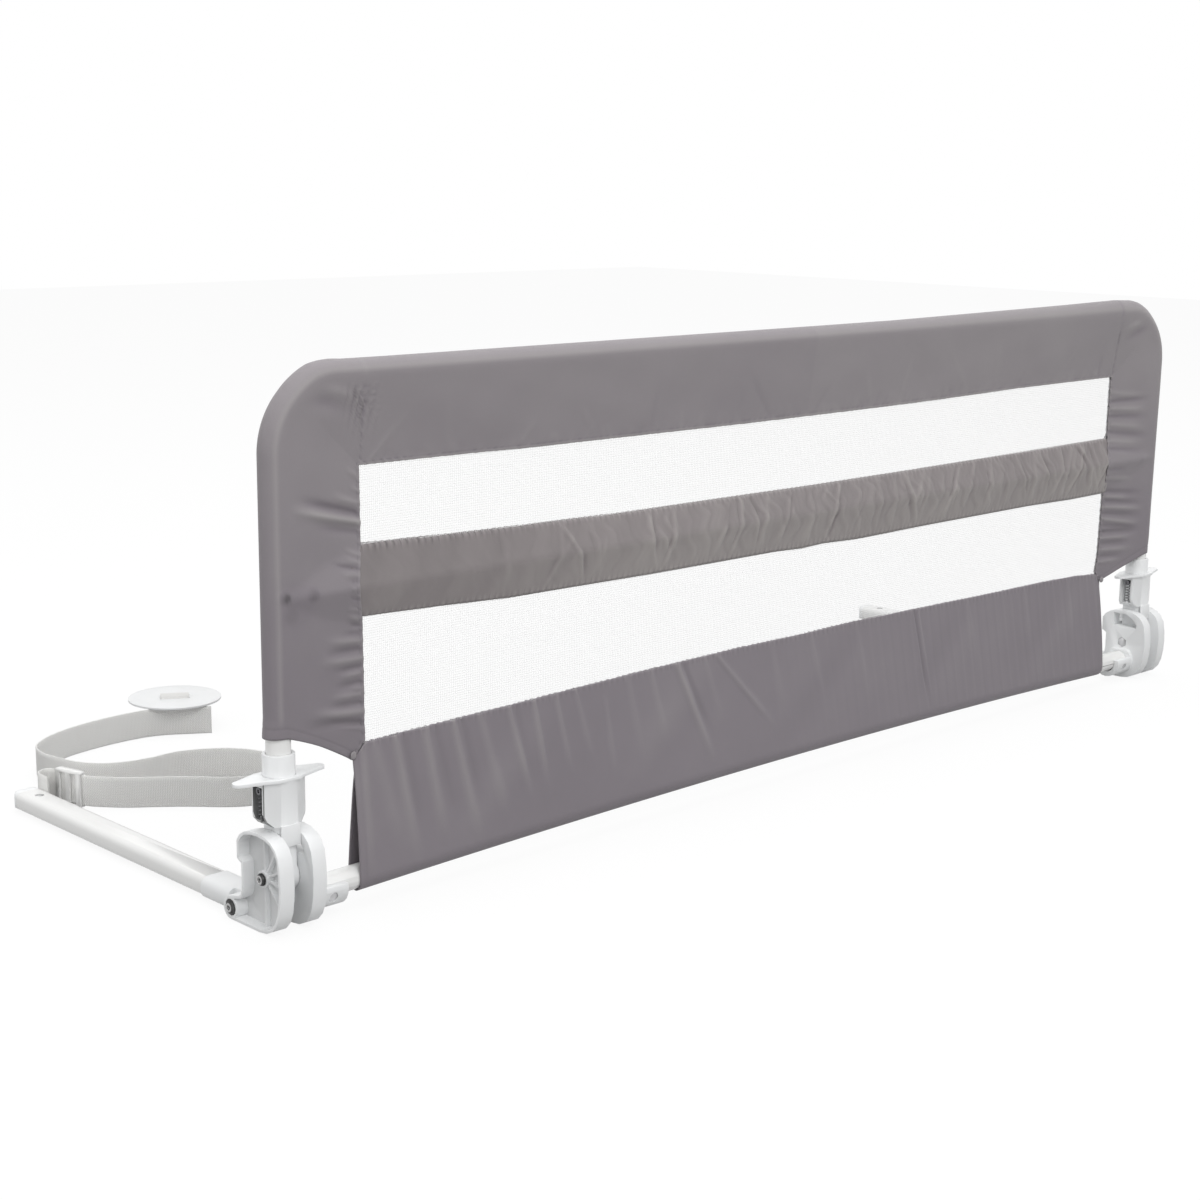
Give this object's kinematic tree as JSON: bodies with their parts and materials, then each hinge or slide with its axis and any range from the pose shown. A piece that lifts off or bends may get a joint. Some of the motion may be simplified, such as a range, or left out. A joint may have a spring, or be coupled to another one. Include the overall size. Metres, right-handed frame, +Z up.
{
  "type": "folding bed guard rail",
  "caption": "Cloth-covered tube rail that folds down beside a bed on sprung hinges, with arms that lie under the mattress and an anchor strap with a disc.",
  "frame": {"origin": "on the floor, under the middle of the rail's length and depth without the strap", "axes": "+X along the rail, +Y from the room towards the bed, +Z up"},
  "size_m": [1.247, 0.6012, 0.4184],
  "materials": {
    "white_plastic": "satin",
    "painted_tube": "gloss",
    "bright_steel": "satin",
    "grey_cloth": "matte",
    "band_cloth": "matte",
    "white_net": "matte",
    "webbing": "matte",
    "clear_plastic": "satin"
  },
  "bodies": {
    "base": {"outer_cheek_left": "white_plastic", "inner_cheek_left": "white_plastic", "pivot_bolt_left": "bright_steel", "arm_bolt_left": "bright_steel", "bottom_snap_button_left": "bright_steel", "bottom_tube_left": "painted_tube", "outer_cheek_right": "white_plastic", "inner_cheek_right": "white_plastic", "pivot_bolt_right": "bright_steel", "arm_bolt_right": "bright_steel", "bottom_snap_button_right": "bright_steel", "bottom_tube_right": "painted_tube", "bottom_tube_middle": "painted_tube", "skirt_hem": "grey_cloth"},
    "rail": {"hinge_arm_left": "white_plastic", "lower_post_left": "painted_tube", "corner_tube_left": "painted_tube", "tee_left": "white_plastic", "tee_screw_left_1": "bright_steel", "tee_screw_left_2": "bright_steel", "post_screw_left": "bright_steel", "stop_screw_left_1": "bright_steel", "stop_screw_left_2": "bright_steel", "slider_spring_left_1": "bright_steel", "slider_spring_left_2": "bright_steel", "press_stud_left": "bright_steel", "hinge_arm_right": "white_plastic", "lower_post_right": "painted_tube", "corner_tube_right": "painted_tube", "tee_right": "white_plastic", "tee_screw_right_1": "bright_steel", "tee_screw_right_2": "bright_steel", "post_screw_right": "bright_steel", "stop_screw_right_1": "bright_steel", "stop_screw_right_2": "bright_steel", "slider_spring_right_1": "bright_steel", "slider_spring_right_2": "bright_steel", "press_stud_right": "bright_steel", "top_tube": "painted_tube", "mid_rail": "painted_tube", "fabric_cover": "grey_cloth", "mid_band": "band_cloth", "upper_net": "white_net", "lower_net": "white_net", "skirt_panel": "grey_cloth", "skirt_fold": "grey_cloth"},
    "slider_left": {"release_slider_left": "white_plastic"},
    "slider_right": {"release_slider_right": "white_plastic"},
    "arm_left": {"arm_socket_left": "white_plastic", "arm_tube_left": "painted_tube", "arm_end_cap_left": "white_plastic", "strap_rivet": "bright_steel", "strap": "webbing", "strap_buckle": "clear_plastic", "anchor_disc": "white_plastic", "strap_tab": "webbing"},
    "arm_right": {"arm_socket_right": "white_plastic", "arm_tube_right": "painted_tube", "arm_end_cap_right": "white_plastic"}
  },
  "joints": [
    {"name": "rail_fold", "type": "hinge", "parent": "base", "child": "rail", "pos_m": [0, -0.17855, 0.04], "axis": [1, 0, 0], "range_deg": [0, 180], "deforming": ["skirt_fold"]},
    {"name": "slider_left_lift", "type": "slide", "parent": "rail", "child": "slider_left", "axis": [0, 0, 1], "range_m": [0, 0.012], "stiffness_N_per_m": 500, "springref_m": -0.012, "deforming": ["slider_spring_left_1", "slider_spring_left_2"]},
    {"name": "slider_right_lift", "type": "slide", "parent": "rail", "child": "slider_right", "axis": [0, 0, 1], "range_m": [0, 0.012], "stiffness_N_per_m": 500, "springref_m": -0.012, "deforming": ["slider_spring_right_1", "slider_spring_right_2"]},
    {"name": "arm_fold_left", "type": "hinge", "parent": "base", "child": "arm_left", "pos_m": [-0.5835, -0.14175, 0.0092], "axis": [1, 0, 0], "range_deg": [0, 90]},
    {"name": "arm_fold_right", "type": "hinge", "parent": "base", "child": "arm_right", "pos_m": [0.5835, -0.14175, 0.0092], "axis": [1, 0, 0], "range_deg": [0, 90]}
  ]
}
